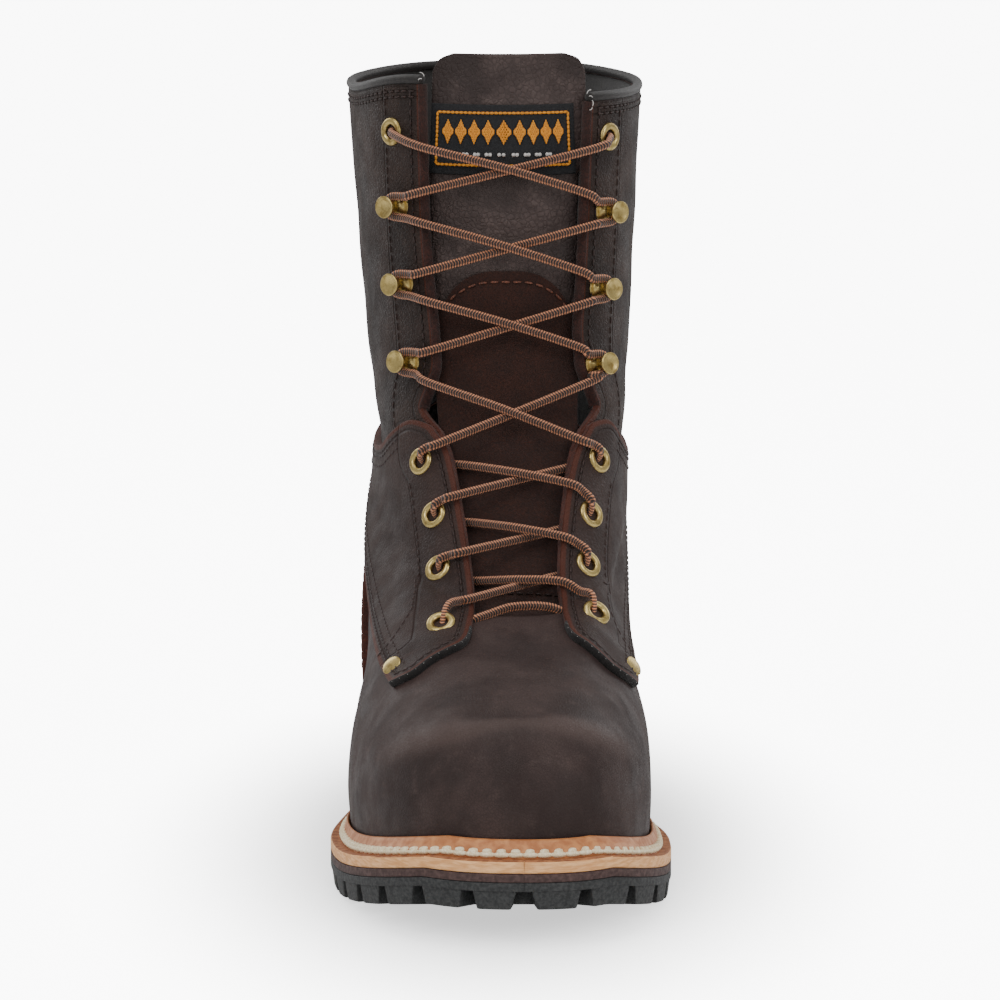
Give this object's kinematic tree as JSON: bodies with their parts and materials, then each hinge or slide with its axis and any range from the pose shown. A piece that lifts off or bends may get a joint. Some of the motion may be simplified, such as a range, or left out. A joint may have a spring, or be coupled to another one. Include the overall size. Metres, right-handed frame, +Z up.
{
  "type": "logger boot",
  "caption": "Tall lace-up leather work boot, right foot, with a high stacked heel, lugged rubber sole, stitched welt, eyelets, lace hooks, tongue and laces.",
  "frame": {"origin": "middle of the boot's box in X and Y, on the floor it stands on", "axes": "+Z up, -Y towards the toe, +X towards the inner side of the foot"},
  "size_m": [0.1144, 0.314, 0.2778],
  "materials": {
    "shaft_leather": "oiled, grained",
    "quarter_leather": "oiled, grained, scuffed",
    "tongue_leather": "grained, suede at the foot",
    "binding": "matt",
    "patch": "woven, matt",
    "lining": "matt",
    "welt_leather": "satin",
    "tan_midsole": "satin, layered edge",
    "brown_midsole": "matt",
    "rubber": "matt",
    "hardware": "antique, worn",
    "lace": "braided"
  },
  "bodies": {
    "root": {"upper": "shaft_leather", "quarter_outer": "quarter_leather", "quarter_inner": "quarter_leather", "heel_counter": "quarter_leather", "collar_binding": "binding", "tongue": "tongue_leather", "tongue_patch": "patch", "insole": "lining", "welt": "welt_leather", "tan_midsole": "tan_midsole", "brown_midsole": "brown_midsole", "outsole": "rubber", "heel": "rubber", "lace_bar": "lace", "lace_crossing_1": "lace", "lace_crossing_2": "lace", "lace_crossing_3": "lace", "lace_crossing_4": "lace", "lace_crossing_5": "lace", "lace_crossing_6": "lace", "lace_crossing_7": "lace", "lower_eyelet_1_inner": "hardware", "lower_eyelet_1_outer": "hardware", "lower_eyelet_2_inner": "hardware", "lower_eyelet_2_outer": "hardware", "lower_eyelet_3_inner": "hardware", "lower_eyelet_3_outer": "hardware", "lower_eyelet_4_inner": "hardware", "lower_eyelet_4_outer": "hardware", "hook_1_inner": "hardware", "hook_1_outer": "hardware", "hook_2_inner": "hardware", "hook_2_outer": "hardware", "hook_3_inner": "hardware", "hook_3_outer": "hardware", "top_eyelet_inner": "hardware", "tab_rivet_inner": "hardware", "top_eyelet_outer": "hardware", "tab_rivet_outer": "hardware"}
  },
  "joints": []
}
